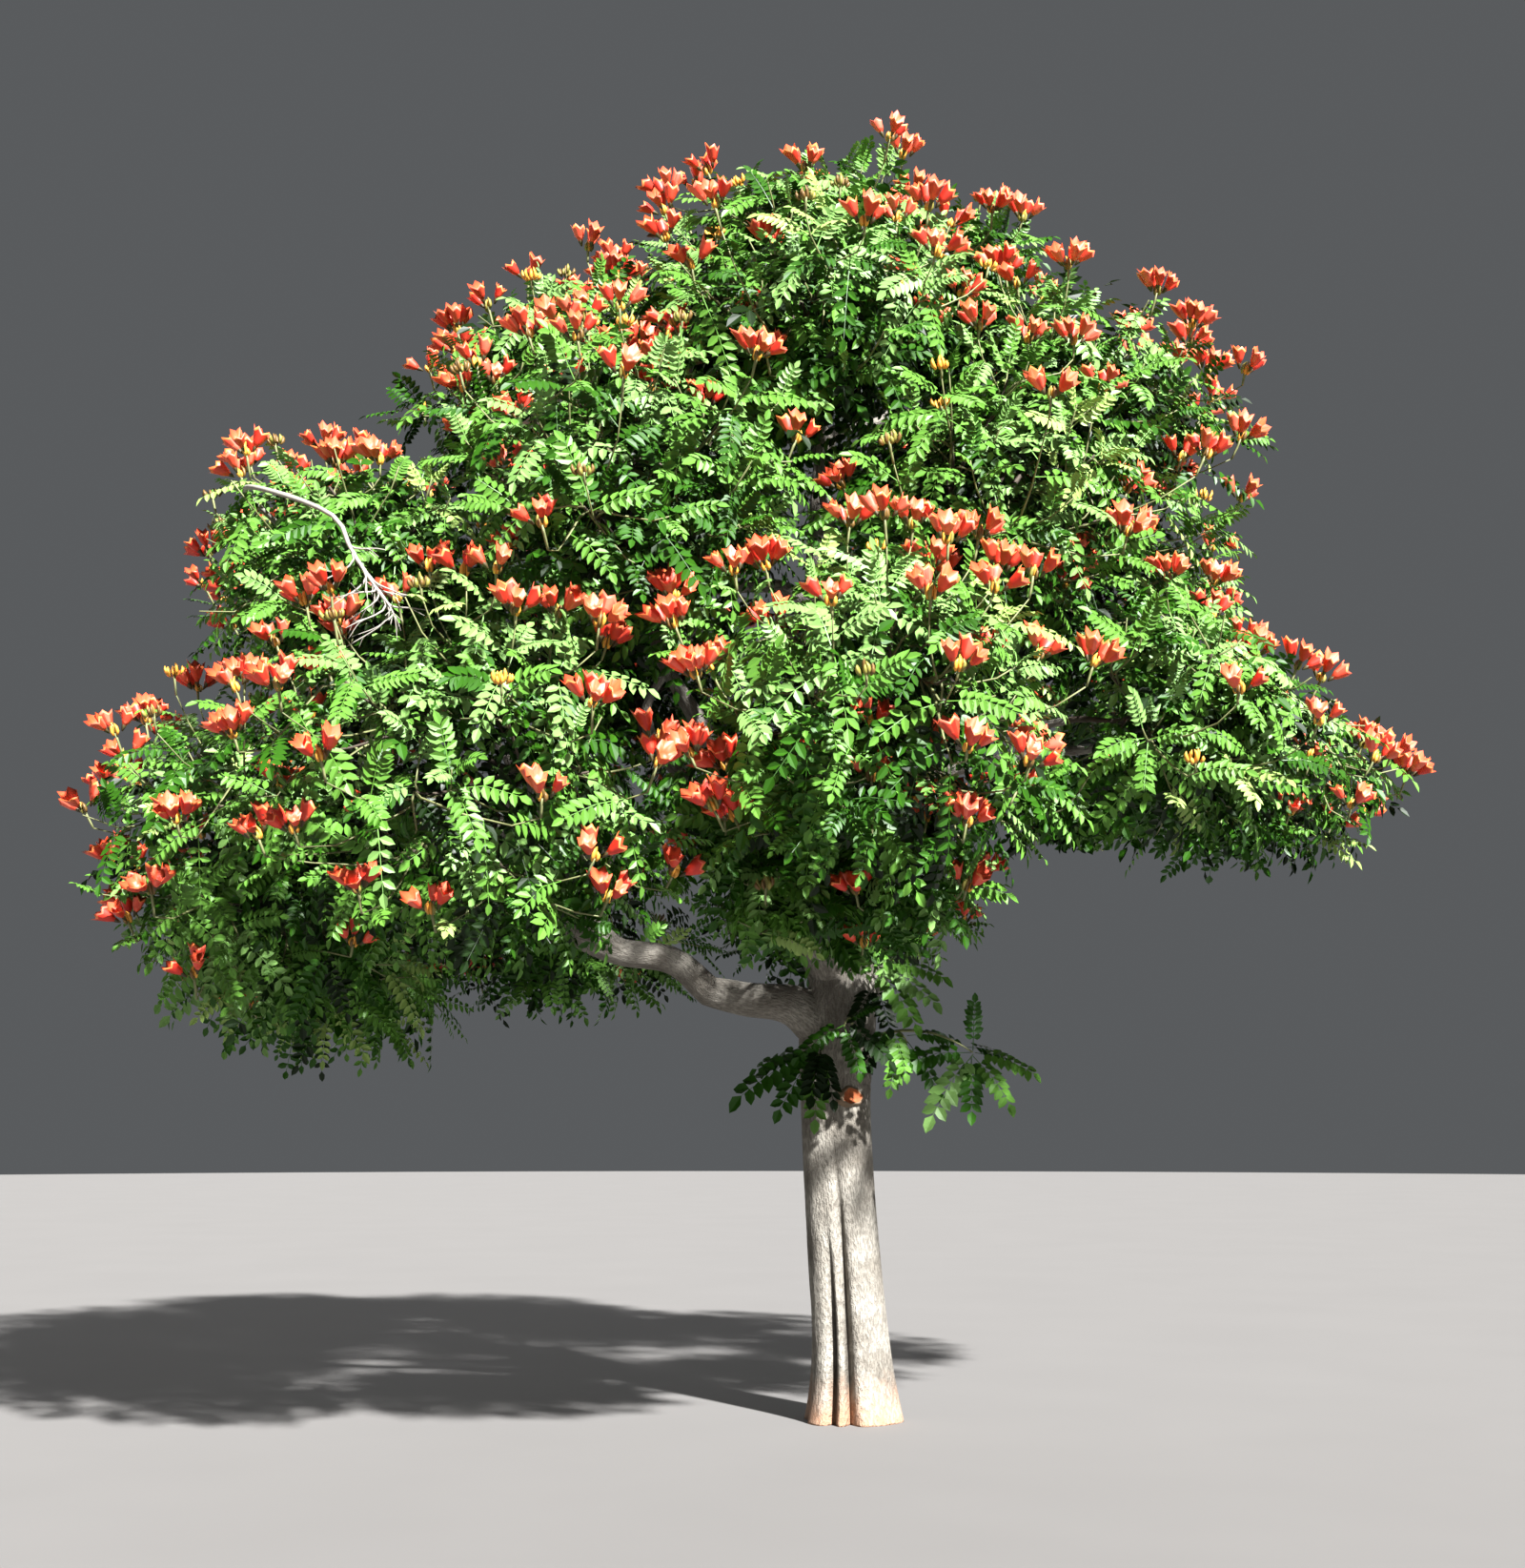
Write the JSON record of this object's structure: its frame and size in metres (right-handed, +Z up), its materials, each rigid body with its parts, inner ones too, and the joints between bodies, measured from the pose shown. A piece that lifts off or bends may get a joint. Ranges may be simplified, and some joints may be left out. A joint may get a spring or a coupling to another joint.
{
  "type": "african tulip tree",
  "caption": "Flowering african tulip tree with a fluted trunk, a low side bough, forked limbs and a broad dome of leaf masses.",
  "frame": {"origin": "middle of the flat cut under the trunk, at ground level", "axes": "+Z up along the trunk, +X to the right and -Y towards the viewer of the front view"},
  "size_m": [7.1826, 6.4095, 7.0177],
  "materials": {
    "bark": "grey-brown bark with fine upright fissures, matte",
    "foliage": "glossy green pinnate leaves with orange-red heads of flower"
  },
  "bodies": {
    "root": {"trunk": "bark", "trunk_shoot_left": "foliage", "trunk_shoot_right": "foliage", "leader": "bark", "low_bough_far": "bark", "low_bough_near": "bark", "limb_1": "bark", "limb_2": "bark", "limb_3": "bark", "limb_4": "bark", "limb_5": "bark", "bough_brow_1": "bark", "bough_brow_2": "bark", "bough_brow_3": "bark", "bough_brow_4": "bark", "bough_brow_5": "bark", "bough_shoulder_4": "bark", "bough_shoulder_5": "bark", "bough_skirt_1": "bark", "bough_skirt_2": "bark", "bough_skirt_3": "bark", "bough_skirt_4": "bark", "bough_skirt_5": "bark", "bough_skirt_6": "bark", "bough_skirt_7": "bark", "bough_skirt_8": "bark", "bough_skirt_9": "bark", "bough_top_1": "bark", "bough_top_2": "bark", "bough_top_3": "bark", "foliage_brow_1": "foliage", "foliage_brow_2": "foliage", "foliage_brow_3": "foliage", "foliage_brow_4": "foliage", "foliage_brow_5": "foliage", "foliage_shoulder_1": "foliage", "foliage_shoulder_2": "foliage", "foliage_shoulder_3": "foliage", "foliage_shoulder_4": "foliage", "foliage_shoulder_5": "foliage", "foliage_shoulder_6": "foliage", "foliage_shoulder_7": "foliage", "foliage_skirt_1": "foliage", "foliage_skirt_2": "foliage", "foliage_skirt_3": "foliage", "foliage_skirt_4": "foliage", "foliage_skirt_5": "foliage", "foliage_skirt_6": "foliage", "foliage_skirt_7": "foliage", "foliage_skirt_8": "foliage", "foliage_skirt_9": "foliage", "foliage_top_1": "foliage", "foliage_top_2": "foliage", "foliage_top_3": "foliage"}
  },
  "joints": []
}
